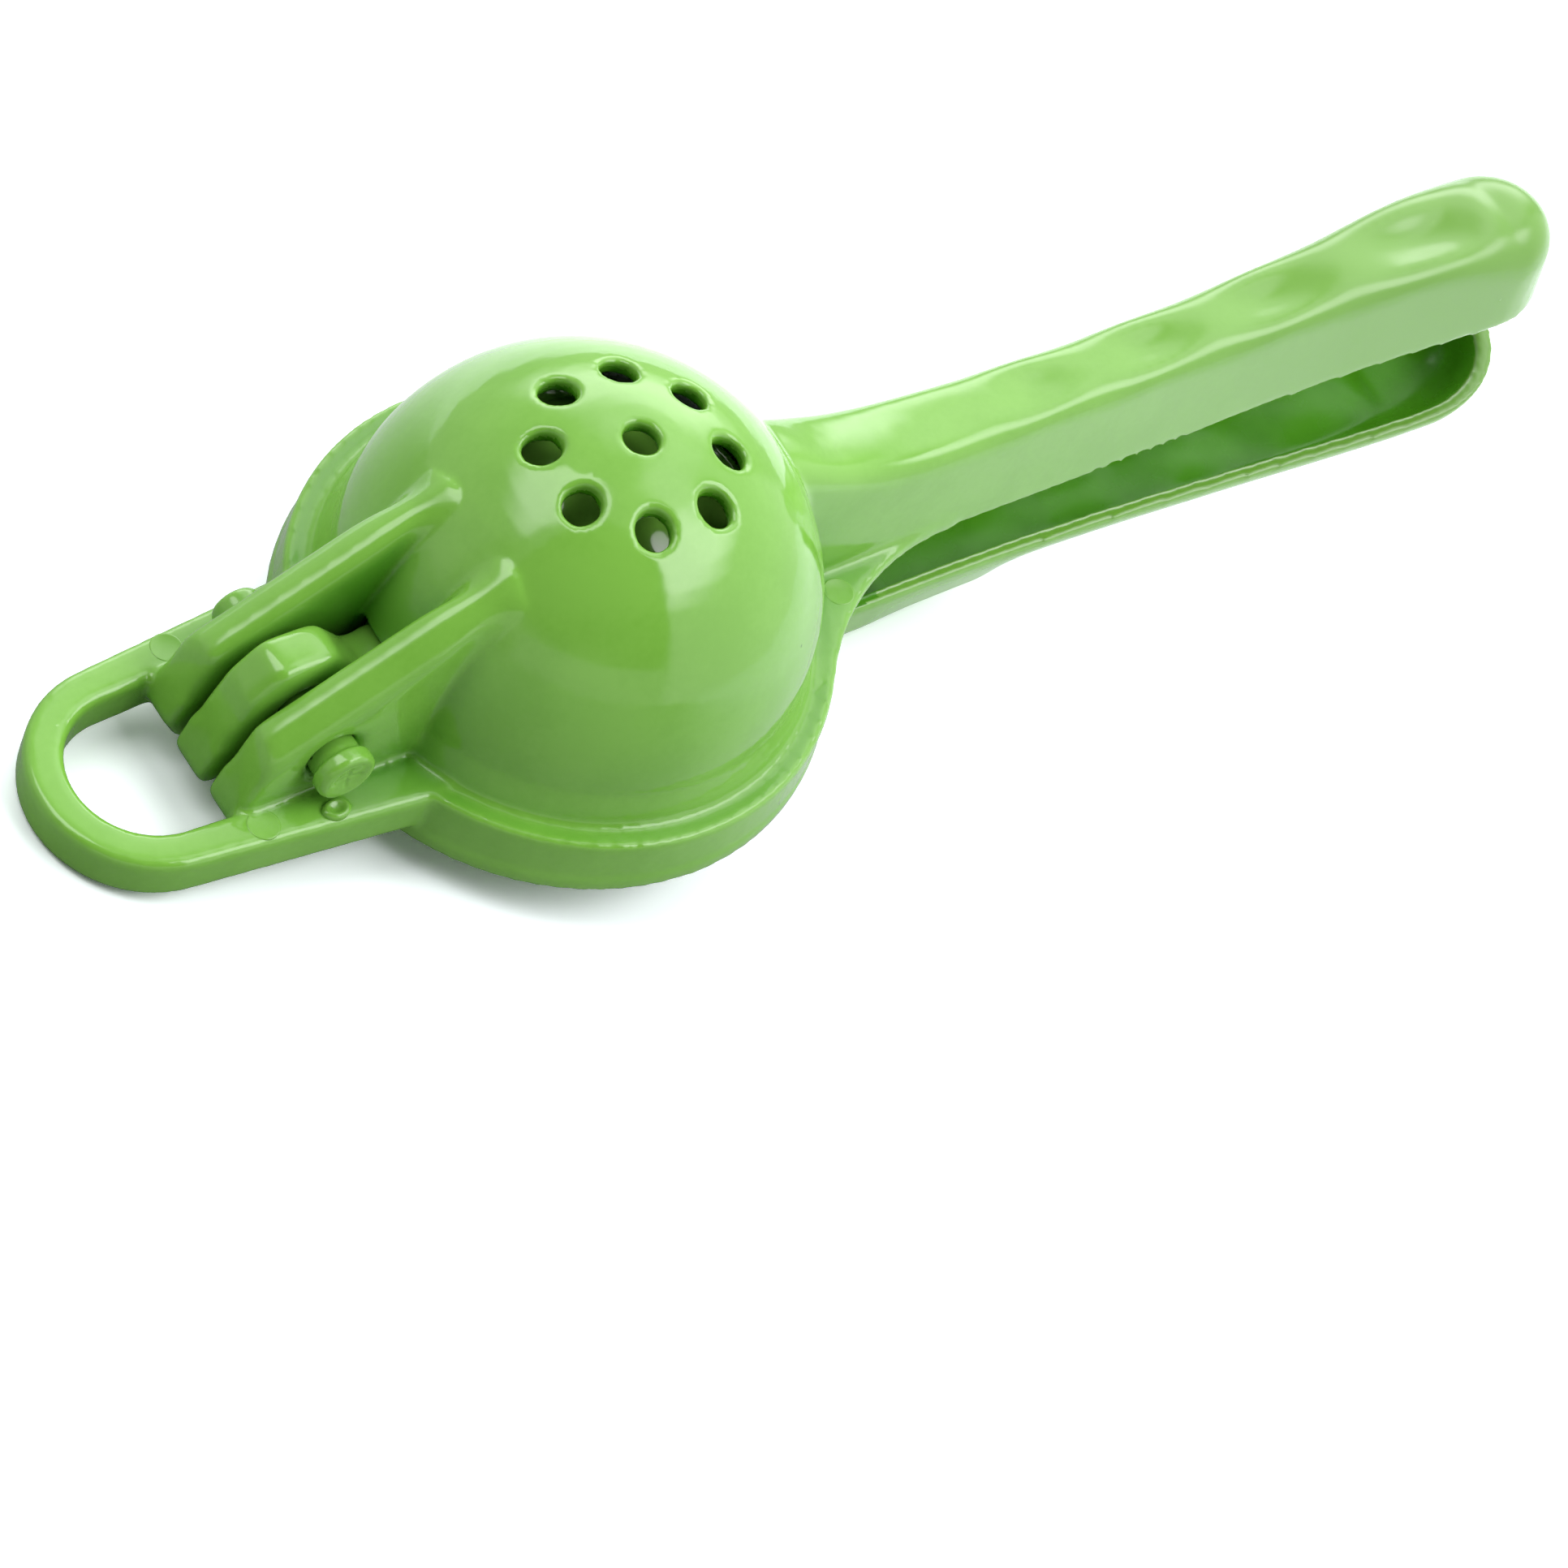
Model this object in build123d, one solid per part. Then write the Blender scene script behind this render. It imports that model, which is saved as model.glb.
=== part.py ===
"""Hinged lemon squeezer: a bowl lever, a press lever and the hinge pin that joins them.

The levers are drawn closed, with the bowl axis on Z, the rim top at z = 0 and the handles along +X.
At the end the closed squeezer is tilted onto the table, where it lies on its loop and its lower handle.
"""

from build123d import *
import math
import os

# Bowl: a drained hemisphere with a deep rim; radii outside the dome are stated from the dome outwards
DOME_RADIUS = 30.65
DOME_CENTRE_Z = 4.3
DOME_WALL = 2.3
MOUTH_FLARE = 1.65
MOUTH_DEPTH = 5.4
CREASE_FLARE = 1.65
RIM_LEDGE = 2.9
RIM_DEPTH = 9.1
RIM_DRAFT = 0.3
RIM_BAND = 0.28
RIM_BAND_SHARE = 0.7
RIM_EDGE = 0.6
HOLE_RADIUS = 2.3
HOLE_RING = 11.57
HOLE_COUNT = 8
HOLE_EDGE = 0.5
RIB_HEIGHT = 1.05
RIB_START = 4.5
RIB_END = 22.0

# Hanging loop, placed from the rim
LOOP_REACH = 24.75
LOOP_OUTER = 14.7
LOOP_INNER = 9.8
ARM_SINK = 9.4
ARM_OUTER_WIDTH = 18.15
ARM_INNER_WIDTH = 11.6
PLATE_DEPTH = 6.5
PLATE_EDGE = 1.1

# Hinge, placed from the rim
PIN_REACH = 6.6
PIN_Z = 5.24
PIN_RADIUS = 3.2
PIN_HEAD_RADIUS = 3.88
PIN_HEAD_LENGTH = 2.15
PIN_PROUD_NEAR = 3.15
PIN_PROUD_FAR = 2.5
PIN_EDGE = 1.0
PIN_SNUG = 0.02
PIN_PLAY = 0.07
KNUCKLE_WIDTH = 6.6
KNUCKLE_ARM_Z = 3.0
KNUCKLE_CORNER = 1.4
KNUCKLE_EDGE = 1.0
EAR_GAP = 1.1
EAR_LENGTH = 21.9
EAR_NOSE = 9.4
EAR_SLOPE = 0.605
EAR_PROUD = 1.5
EAR_CREST_WIDTH = 3.0
EAR_THICKNESS = 6.5
EAR_FALL = 2.3
EAR_EDGE = 1.15
SWING_CLEARANCE = 0.5
SWING_WIDTH = 16.0
OPEN_ANGLE = 105.0

# Handles: stations of (run from the rim, half width and z of the open edge, height, shoulder radius,
# radius of the back across the handle); a negative radius is the middle of a finger hollow
UPPER_STATIONS = [
    (-12.2, 8.35, -1.3, 23.7, 3.2, 16.0),
    (-2.7, 8.2, -1.3, 19.6, 3.2, 18.0),
    (2.8, 8.1, -1.3, 17.3, 3.2, 19.0),
    (9.8, 7.95, -1.6, 15.8, 3.2, 19.0),
    (18.8, 7.7, -2.3, 15.6, 3.2, 18.0),
    (26.5, 7.5, -2.65, 15.6, 3.3, 17.0),
    (34.9, 7.3, -2.9, 15.0, 2.6, -9.0),
    (43.5, 7.2, -2.9, 15.6, 3.5, 16.0),
    (54.5, 7.15, -2.85, 14.8, 2.4, -6.0),
    (64.5, 7.2, -2.5, 15.8, 3.6, 16.0),
    (75.5, 7.45, -1.95, 14.7, 2.4, -6.0),
    (87.0, 7.9, -1.25, 16.2, 3.9, 18.0),
    (98.5, 8.7, -0.5, 14.75, 2.8, -7.0),
    (105.0, 9.2, -0.1, 14.4, 3.2, -7.0),
    (111.5, 9.75, 0.25, 15.3, 5.4, 26.0),
    (116.3, 10.1, 0.5, 14.7, 7.0, 24.0),
]
LOWER_STATIONS = [
    (-4.2, 7.9, -14.2, 8.6, 3.0, 26.0),
    (2.8, 8.1, -14.2, 9.8, 3.0, 26.0),
    (9.8, 8.2, -14.2, 10.7, 3.0, 26.0),
    (24.8, 8.1, -14.3, 11.4, 3.0, 25.0),
    (44.8, 8.5, -14.55, 11.8, 3.1, 26.0),
    (60.8, 9.15, -14.85, 11.7, 3.2, -40.0),
    (68.5, 9.6, -14.95, 12.55, 3.3, 30.0),
    (77.0, 10.1, -15.0, 12.25, 3.4, -40.0),
    (86.0, 10.7, -15.1, 13.25, 4.0, 38.0),
    (97.3, 11.65, -14.8, 12.4, 4.2, -40.0),
    (106.5, 12.35, -14.35, 12.85, 5.6, 45.0),
    (110.8, 12.6, -14.0, 12.4, 6.4, 58.0),
]
UPPER_TIP_STRETCH = 1.17
LOWER_TIP_STRETCH = 1.34
HANDLE_WALL = 2.1
HANDLE_DRAFT = 7.5
ROOT_WALL = 2.4
ROOT_EDGE = 2.4
CHANNEL_START = 8.3
CHANNEL_RAMP = 13.0
WEB_DEPTH = 2.7
FLARE_RADIUS = 38.0
LIP_REACH = 3.8
GRIP_COUNT = 8
GRIP_START = 13.3
GRIP_PITCH = 4.0
GRIP_RADIUS = 1.3
GRIP_SINK = 0.35
GRIP_WIDTH = 11.0

# Press: a hollow truncated cone with a stepped dome, sized from the bowl's inside
PRESS_CLEARANCE = 0.47
PRESS_BASE_Z = -1.1
PRESS_TAPER = 8.43
PRESS_STEP = 1.3
PRESS_EDGE = 0.45
PULP_GAP = 6.05
CAP_RISE = 6.4
PRESS_WALL = 2.2
NECK_WIDTH = 12.6
NECK_GAP = 1.9
FIN_WIDTH = 2.6
FIN_GAP = 0.4

dome_inner = DOME_RADIUS - DOME_WALL
mouth_radius = dome_inner + MOUTH_FLARE
crease_radius = DOME_RADIUS + CREASE_FLARE
rim_radius = crease_radius + RIM_LEDGE
loop_x = -rim_radius - LOOP_REACH
loop_end_x = loop_x - LOOP_OUTER + PLATE_EDGE
arm_end_x = -rim_radius + ARM_SINK
pin_x = -rim_radius - PIN_REACH
ear_inner = KNUCKLE_WIDTH / 2 + EAR_GAP
ear_outer = ear_inner + EAR_THICKNESS
ear_end_x = pin_x + EAR_LENGTH
ear_nose_x = pin_x - EAR_NOSE
press_radius = dome_inner - PRESS_CLEARANCE
ring_radius = press_radius - PRESS_TAPER
cap_z = DOME_CENTRE_Z + dome_inner - PULP_GAP
ring_z = cap_z - CAP_RISE


def xz_prism(points, y_from, y_to, radius=0.0):
    """Outline in the XZ plane pushed from y_from to y_to, with its corners rounded."""
    outline = make_face(Polyline(*points, close=True))
    if radius:
        outline = fillet(outline.vertices(), radius)
    solid = extrude(outline, amount=y_to - y_from)
    return Pos(0, y_to, 0) * Rot(90, 0, 0) * solid


def spin(outline):
    """Turns a half profile, drawn as (radius, height), about the Z axis."""
    return revolve(Rot(90, 0, 0) * outline, axis=Axis.Z, revolution_arc=360)


def tangent_arms(centre_x, radius, reach_x, width):
    """Plan of a round end with two straight arms that touch it and open out to reach_x."""
    run = reach_x - centre_x
    slope = math.atan2(width, run) - math.asin(radius / math.hypot(width, run))
    touch_x = centre_x - radius * math.sin(slope)
    touch_y = radius * math.cos(slope)
    arc = ThreePointArc((touch_x, touch_y), (centre_x - radius, 0), (touch_x, -touch_y))
    arms = Polyline((touch_x, -touch_y), (reach_x, -width), (reach_x, width), (touch_x, touch_y))
    return make_face([arc, arms])


def channel_outline(width, height, radius, crown_radius, inset, overshoot):
    """Half section of a handle as (y, h) points, from the open edge round the shoulder to the middle."""
    draft = math.radians(HANDLE_DRAFT)
    width = width - inset / math.cos(draft)
    height = height - inset
    radius = max(radius - inset, 0.9)
    crown_radius = crown_radius - inset
    along = Vector(-math.sin(draft), math.cos(draft))
    inward = Vector(-math.cos(draft), -math.sin(draft))
    start = Vector(width, 0)
    crown_centre = Vector(0, height - crown_radius)
    offset = start + inward * radius - crown_centre
    mid = along.dot(offset)
    root = math.sqrt(mid**2 - offset.dot(offset) + (crown_radius - radius) ** 2)
    reach = -mid + math.copysign(root, crown_radius)
    centre = start + along * reach + inward * radius
    side_end = start + along * reach
    crown_start = crown_centre + (centre - crown_centre) * (crown_radius / (crown_radius - radius))
    bend = centre + ((side_end - centre).normalized() + Vector(0, 1)).normalized() * radius
    edge = start - along * (overshoot / math.cos(draft))
    return [edge, side_end, bend, crown_start, Vector(0, height)]


def station_frame(stations, index, side):
    """Origin, direction and section 'up' of a handle station, square to the open edge there."""
    before = stations[max(index - 1, 0)]
    after = stations[min(index + 1, len(stations) - 1)]
    slope = math.atan2(after[2] - before[2], after[0] - before[0])
    origin = Vector(rim_radius + stations[index][0], 0, stations[index][2])
    forward = Vector(math.cos(slope), 0, math.sin(slope))
    up = Vector(-math.sin(slope), 0, math.cos(slope)) * side
    return origin, forward, up


def handle_body(stations, side, stretch, inset=0.0, overshoot=0.0):
    """Lofted bar with a round end; side is +1 for a back above the open edge and -1 for one below."""
    wires = []
    for index, (run, width, z, height, shoulder, crown) in enumerate(stations):
        origin, forward, up = station_frame(stations, index, side)
        half = channel_outline(width, height, shoulder, crown, inset, overshoot)
        right = [origin + Vector(0, p.X, 0) + up * p.Y for p in half]
        left = [origin - Vector(0, p.X, 0) + up * p.Y for p in half]
        wires.append(
            Wire(
                [
                    Edge.make_line(right[0], right[1]),
                    Edge.make_three_point_arc(right[1], right[2], right[3]),
                    Edge.make_three_point_arc(right[3], right[4], left[3]),
                    Edge.make_three_point_arc(left[3], left[2], left[1]),
                    Edge.make_line(left[1], left[0]),
                    Edge.make_line(left[0], right[0]),
                ]
            )
        )
    place = Plane(origin=origin, x_dir=forward, z_dir=up).location
    return Solid.make_loft(wires) + place * round_end(half, stretch)


def round_end(half, stretch):
    """Half turn of a section about its middle, drawn out along X by stretch."""
    edge, side_end, bend, crown_start, crown = [Vector(0, p.X, p.Y) for p in half]
    whole_crown = Edge.make_three_point_arc(crown_start, crown, Vector(0, -crown_start.Y, crown_start.Z))
    low = Vector(0, 0, edge.Z)
    face = make_face(
        [
            Edge.make_line(edge, side_end),
            Edge.make_three_point_arc(side_end, bend, crown_start),
            whole_crown.trim(0, 0.5),
            Edge.make_line(crown, low),
            Edge.make_line(low, edge),
        ]
    )
    turn = revolve(face, axis=Axis((0, 0, 0), (0, 0, -1)), revolution_arc=180)
    return scale(turn, by=(stretch, 1, 1)) if stretch != 1 else turn


def back_height(stations, side, run):
    """z of the middle of a handle's back at a run from the rim, between its stations."""
    for first, second in zip(stations, stations[1:]):
        if run <= second[0]:
            break
    share = (run - first[0]) / (second[0] - first[0])
    edge = first[2] + share * (second[2] - first[2])
    height = first[3] + share * (second[3] - first[3])
    return edge + side * height


def bowl_shell():
    """Dome and rim turned in one profile, still without its cavity."""
    equator = (DOME_RADIUS, DOME_CENTRE_Z)
    pole = (0, DOME_CENTRE_Z + DOME_RADIUS)
    lean = math.radians(45)
    shoulder = (DOME_RADIUS * math.sin(lean), DOME_CENTRE_Z + DOME_RADIUS * math.cos(lean))
    crease_top = (crease_radius - 0.5, 0.2)
    crease = (crease_radius, -0.35)
    band_z = -RIM_BAND_SHARE * RIM_DEPTH
    corner = RIM_EDGE * (1 - math.cos(lean))
    waist = rim_radius + RIM_DRAFT
    low_radius = waist + RIM_BAND
    under = rim_radius - 1.5
    profile = make_face(
        [
            ThreePointArc(pole, shoulder, equator),
            Polyline(equator, crease_top, crease),
            ThreePointArc(crease, (crease_radius + 1.0, -0.3), (rim_radius - RIM_EDGE, 0)),
            ThreePointArc(
                (rim_radius - RIM_EDGE, 0),
                (rim_radius - corner, -corner),
                (rim_radius, -RIM_EDGE),
            ),
            Polyline(
                (rim_radius, -RIM_EDGE),
                (waist, band_z),
                (low_radius, band_z - RIM_BAND),
                (low_radius, -RIM_DEPTH + RIM_EDGE),
            ),
            ThreePointArc(
                (low_radius, -RIM_DEPTH + RIM_EDGE),
                (low_radius - corner, -RIM_DEPTH + corner),
                (low_radius - RIM_EDGE, -RIM_DEPTH),
            ),
            Line((low_radius - RIM_EDGE, -RIM_DEPTH), (under, -RIM_DEPTH)),
            Polyline((under, -RIM_DEPTH), (mouth_radius + 0.5, -MOUTH_DEPTH), (0, -MOUTH_DEPTH), pole),
        ]
    )
    return spin(profile)


def bowl_cavity():
    """The space for the fruit: a drafted mouth under a hemisphere."""
    pole = (0, DOME_CENTRE_Z + dome_inner)
    equator = (dome_inner, DOME_CENTRE_Z)
    lean = math.radians(45)
    shoulder = (dome_inner * math.sin(lean), DOME_CENTRE_Z + dome_inner * math.cos(lean))
    flare = MOUTH_FLARE / (DOME_CENTRE_Z + MOUTH_DEPTH)
    low = -RIM_DEPTH - 1
    wide = mouth_radius + flare * (-MOUTH_DEPTH - low)
    profile = make_face(
        [
            ThreePointArc(pole, shoulder, equator),
            Polyline(equator, (wide, low), (0, low), pole),
        ]
    )
    return spin(profile)


def drain_holes():
    """One hole at the pole and a ring round it, all along the bowl axis."""
    ring = [Pos(0, 0, 0)]
    for index in range(HOLE_COUNT):
        turn = 360 / HOLE_COUNT * (index + 0.5)
        ring.append(Rot(0, 0, turn) * Pos(HOLE_RING, 0, 0))
    top = DOME_CENTRE_Z + DOME_RADIUS
    return [place * Pos(0, 0, top) * Cylinder(HOLE_RADIUS, DOME_RADIUS) for place in ring]


def drained_shell():
    """The turned shell with its drain holes, whose outer edges are rounded."""
    shell = bowl_shell()
    before = shell.edges()
    for hole in drain_holes():
        shell -= hole
    centre = Vector(0, 0, DOME_CENTRE_Z)
    rims = [e for e in shell.edges() if e not in before and e.length < 7 * HOLE_RADIUS]
    rims = [e for e in rims if (e.center() - centre).length > DOME_RADIUS - 1]
    return fillet(rims, HOLE_EDGE)


def inner_ribs():
    """Low ribs on the inside of the dome, between the drain holes."""
    inside = dome_inner - RIB_HEIGHT
    centre = Vector(0, DOME_CENTRE_Z)
    first = math.asin(RIB_START / dome_inner)
    last = math.asin(RIB_END / dome_inner)
    middle = (first + last) / 2

    def at(radius, lean):
        return (radius * math.sin(lean), centre.Y + radius * math.cos(lean))

    outside = dome_inner + DOME_WALL / 2
    outline = make_face(
        [
            ThreePointArc(at(inside, first), at(inside, middle), at(inside, last)),
            Line(at(inside, last), at(outside, last)),
            ThreePointArc(at(outside, last), at(outside, middle), at(outside, first)),
            Line(at(outside, first), at(inside, first)),
        ]
    )
    bar = Pos(0, RIB_HEIGHT, 0) * Rot(90, 0, 0) * extrude(outline, amount=2 * RIB_HEIGHT)
    return [Rot(0, 0, 360 / HOLE_COUNT * index) * bar for index in range(HOLE_COUNT)]


def loop_plate():
    """Flat loop round the hinge, with rounded edges."""
    plan = tangent_arms(loop_x, LOOP_OUTER, arm_end_x, ARM_OUTER_WIDTH)
    plan -= tangent_arms(loop_x, LOOP_INNER, arm_end_x, ARM_INNER_WIDTH)
    plate = Pos(0, 0, -PLATE_DEPTH) * extrude(plan, amount=PLATE_DEPTH)
    rounded = [e for e in plate.edges() if abs(e.center().Z + PLATE_DEPTH / 2) > 1]
    rounded = [e for e in rounded if e.center().X < arm_end_x - 1]
    return fillet(rounded, PLATE_EDGE)


def ear_section(x, crest_z):
    """Section of one ear: upright inside, flat to its crest, then falling to the outside."""
    top = crest_z + EAR_SLOPE * (x - ear_end_x)
    crest = ear_inner + EAR_CREST_WIDTH
    points = [
        (x, ear_inner, -PLATE_DEPTH),
        (x, ear_inner, top - 0.5),
        (x, crest, top),
        (x, ear_outer - 0.4, top - EAR_FALL),
        (x, ear_outer, -PLATE_DEPTH),
    ]
    return make_face(Polyline(*points, close=True))


def ear():
    """Cheek that carries the pin and runs up the dome as a rib."""
    crest = ear_inner + EAR_CREST_WIDTH
    crest_z = DOME_CENTRE_Z + math.sqrt(DOME_RADIUS**2 - ear_end_x**2 - crest**2) + EAR_PROUD
    bar = loft([ear_section(x, crest_z) for x in (ear_nose_x - 6, ear_end_x + 6)], ruled=True)
    front = [
        (ear_nose_x + 1.4, PIN_Z + 6.8),
        (ear_nose_x - 2.9, -2.6),
        (ear_nose_x - 0.9, -PLATE_DEPTH + 0.6),
        (ear_nose_x + 4.0, -PLATE_DEPTH - 1),
        (ear_end_x, -PLATE_DEPTH - 1),
        (ear_end_x, crest_z + 9),
        (ear_nose_x + 6.0, crest_z + 9),
    ]
    cheek = bar & xz_prism(front, 0, 2 * ear_outer)
    floor = -PLATE_DEPTH + 0.5
    long = 1.5 * EAR_LENGTH
    rounded = [e for e in cheek.edges() if e.length > long and e.center().Z > floor]
    rounded += [e for e in cheek.edges() if e.center().X < ear_nose_x + 1 and e.center().Z > floor]
    tail = [e for e in cheek.edges() if e.center().X > ear_end_x - 0.01]
    rounded += [e for e in tail if e.center().Z > crest_z - 4]
    return fillet(rounded, EAR_EDGE)


def rim_web():
    """Flat web that flares from the rim into the upper handle, with the rim's lip along its edge."""
    bar_width = UPPER_STATIONS[4][1]
    reach = rim_radius + FLARE_RADIUS
    centre_y = bar_width + FLARE_RADIUS
    centre_x = math.sqrt(reach**2 - centre_y**2)
    share = rim_radius / reach
    start = (centre_x * share, centre_y * share)
    lean = math.atan2(centre_y, centre_x)
    middle_angle = (lean + math.pi + 1.5 * math.pi) / 2
    middle = (
        centre_x + FLARE_RADIUS * math.cos(middle_angle),
        centre_y + FLARE_RADIUS * math.sin(middle_angle),
    )
    finish = (centre_x, bar_width)
    near = [(p[0], -p[1]) for p in (start, middle, finish)]
    root = rim_radius / 2
    plan = make_face(
        [
            ThreePointArc(start, middle, finish),
            Line(finish, near[2]),
            ThreePointArc(near[2], near[1], near[0]),
            Polyline(near[0], (root, -start[1]), (root, start[1]), start),
        ]
    )
    web = Pos(0, 0, -WEB_DEPTH) * extrude(plan, amount=WEB_DEPTH - 0.1)
    skirt = Pos(0, 0, -RIM_DEPTH) * extrude(plan, amount=RIM_DEPTH - 0.2)
    length = rim_radius + LIP_REACH
    skirt &= Pos(length / 2, 0, -RIM_DEPTH / 2) * Box(length, 2 * reach, RIM_DEPTH + 2)
    return web + skirt


def lip_gap():
    """Opening in the rim's lip where the neck of the press lever passes."""
    start = mouth_radius - 2.8
    length = rim_radius + LIP_REACH + 9 - start
    width = NECK_WIDTH + 2 * NECK_GAP
    depth = RIM_DEPTH + 1
    return Pos(start + length / 2, 0, -WEB_DEPTH - depth / 2) * Box(length, width, depth)


def swing_relief():
    """Room for the edge of the press, which swings down about the pin past the rim."""
    drop = PIN_Z - PRESS_BASE_Z
    start = -math.atan2(drop, -pin_x - press_radius)
    edge = []
    for index in range(9):
        y = SWING_WIDTH * (index / 4 - 1)
        run = -pin_x - math.sqrt(press_radius**2 - y**2)
        distance = math.hypot(run, drop) - SWING_CLEARANCE
        edge.append(swing_point(y, distance, start))
    outer = [swing_point(y, press_radius, start) for y in (SWING_WIDTH, -SWING_WIDTH)]
    outline = make_face([Spline(*edge), Polyline(edge[-1], *outer, edge[0])])
    return revolve(outline, axis=Axis((pin_x, 0, PIN_Z), (0, 1, 0)), revolution_arc=OPEN_ANGLE)


def swing_point(y, distance, angle):
    """Point at a distance from the pin axis, in the half plane at the angle above +X."""
    return (pin_x + distance * math.cos(angle), y, PIN_Z + distance * math.sin(angle))


def arm_slot():
    """Slot through the rim and the dome for the arm between the knuckle and the press."""
    length = dome_inner / 3 - press_radius - pin_x
    top = PIN_Z + KNUCKLE_ARM_Z + 0.7
    low = -RIM_DEPTH - 1
    return Pos(pin_x + length / 2, 0, (top + low) / 2) * Box(length, 2 * ear_inner, top - low)


def pin_bore(radius):
    """Bore for the hinge pin, across both ears or the knuckle."""
    return Pos(pin_x, 0, PIN_Z) * Rot(90, 0, 0) * Cylinder(radius, 3 * ear_outer)


def bowl_lever():
    """Bowl, loop, ears and upper handle in one moulding."""
    body = drained_shell() + loop_plate()
    cheek = ear()
    body += cheek
    body += mirror(cheek, Plane.XZ)
    body += rim_web()
    body += handle_body(UPPER_STATIONS, 1, UPPER_TIP_STRETCH)
    body -= upper_channel()
    body -= bowl_cavity()
    body -= lip_gap()
    for rib in inner_ribs():
        body += rib
    body -= arm_slot()
    body -= swing_relief()
    body -= pin_bore(PIN_RADIUS + PIN_SNUG)
    return body


def upper_channel():
    """Hollow of the upper handle, with a sloping end wall."""
    channel = handle_body(UPPER_STATIONS[2:], 1, UPPER_TIP_STRETCH, HANDLE_WALL, 1.0)
    start = rim_radius + CHANNEL_START
    end = start + CHANNEL_RAMP
    root = rim_radius - 5
    back = UPPER_STATIONS[0][3]
    low = -RIM_DEPTH
    ramp = [(root, low), (start, low), (start, -WEB_DEPTH), (end, 12), (end, back), (root, back)]
    return channel - xz_prism(ramp, -rim_radius, rim_radius)


def cap_arc(radius, base_z, top_z):
    """Arc of a sphere on the Z axis, from (radius, base_z) up to (0, top_z)."""
    rise = top_z - base_z
    sphere = (radius**2 + rise**2) / (2 * rise)
    half = math.asin(radius / sphere) / 2
    middle = (sphere * math.sin(half), top_z - sphere * (1 - math.cos(half)))
    return ThreePointArc((radius, base_z), middle, (0, top_z))


def press_cup():
    """Cone with a stepped dome on its small end, still solid."""
    cap_radius = ring_radius - PRESS_STEP
    arc = cap_arc(cap_radius, ring_z - PRESS_STEP, cap_z)
    outline = Polyline(
        (0, cap_z),
        (0, PRESS_BASE_Z),
        (press_radius, PRESS_BASE_Z),
        (ring_radius, ring_z),
        (cap_radius + PRESS_STEP / 3, ring_z),
        (cap_radius, ring_z - PRESS_STEP),
    )
    cup = spin(make_face([arc, outline]))
    rings = [e for e in cup.edges().filter_by(GeomType.CIRCLE) if e.center().Z > ring_z - 0.01]
    return fillet(rings, PRESS_EDGE)


def press_core():
    """The hollow of the press, open downwards."""
    slope = PRESS_TAPER / (ring_z - PRESS_BASE_Z)
    wall = PRESS_WALL * math.hypot(1, slope)
    low = PRESS_BASE_Z - 10
    top = ring_z - PRESS_STEP - PRESS_WALL
    base = press_radius - wall + slope * (PRESS_BASE_Z - low)
    small = press_radius - wall - slope * (top - PRESS_BASE_Z)
    arc = cap_arc(small, top, cap_z - PRESS_WALL)
    outline = Polyline((0, cap_z - PRESS_WALL), (0, low), (base, low), (small, top))
    return spin(make_face([arc, outline]))


def knuckle():
    """Hinge eye of the press lever and the arm that joins it to the edge of the press."""
    x, z = pin_x, PIN_Z
    inside = -press_radius + 6.0
    points = [
        (inside, PRESS_BASE_Z),
        (inside, z + KNUCKLE_ARM_Z),
        (x + 8.4, z + KNUCKLE_ARM_Z),
        (x + 3.0, z + 8.7),
        (x - 4.5, z + 8.7),
        (x - 8.2, z + 4.6),
        (x - 10.2, z - 1.0),
        (x - 12.1, z - 8.2),
        (x - 11.7, z - 10.0),
        (x - 9.0, z - 10.0),
        (x - 5.0, z - 8.3),
        (x + 6.0, z - 8.0),
        (x + 11.0, PRESS_BASE_Z),
    ]
    arm = xz_prism(points, -KNUCKLE_WIDTH / 2, KNUCKLE_WIDTH / 2, KNUCKLE_CORNER)
    rounded = [e for e in arm.edges() if abs(abs(e.center().Y) - KNUCKLE_WIDTH / 2) < 0.01]
    return fillet(rounded, KNUCKLE_EDGE)


def neck():
    """Plate from the press down to the lower handle, stiffened by a fin along the middle."""
    run, width, rim_z, depth, shoulder, crown = LOWER_STATIONS[0]
    edge_x = rim_radius + run
    outer = press_radius
    points = [
        (outer - 2.4, PRESS_BASE_Z),
        (outer, PRESS_BASE_Z),
        (outer + 0.3, PRESS_BASE_Z - 2.5),
        (edge_x + 1.0, rim_z),
        (edge_x + 1.0, rim_z - depth / 2),
        (edge_x - 1.2, rim_z - 4),
        (outer - 2.4, PRESS_BASE_Z - 3),
    ]
    plate = xz_prism(points, -NECK_WIDTH / 2, NECK_WIDTH / 2)
    fin_top = -WEB_DEPTH - FIN_GAP
    floor = rim_z - depth + 1.5
    fin = xz_prism(
        [
            (outer - 1.5, fin_top - 6),
            (outer + 1.2, fin_top - 1),
            (outer + 3.0, fin_top),
            (outer + 9.0, fin_top - 3.4),
            (outer + 19.8, fin_top - 9.2),
            (outer + 28.0, floor + HANDLE_WALL - 1.0),
            (outer + 29.0, floor - 1.0),
            (edge_x + 1.0, floor),
        ],
        -FIN_WIDTH / 2,
        FIN_WIDTH / 2,
    )
    ridge = [e for e in fin.edges() if abs(e.center().Y) > FIN_WIDTH / 2 - 0.01]
    ridge = [e for e in ridge if e.center().Z > rim_z - 6]
    return plate + fillet(ridge, FIN_WIDTH / 2 - 0.2)


def grip_height(run):
    """z of the axis of a grip rib, just inside the back of the lower handle."""
    return back_height(LOWER_STATIONS, -1, run) + GRIP_SINK


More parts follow.
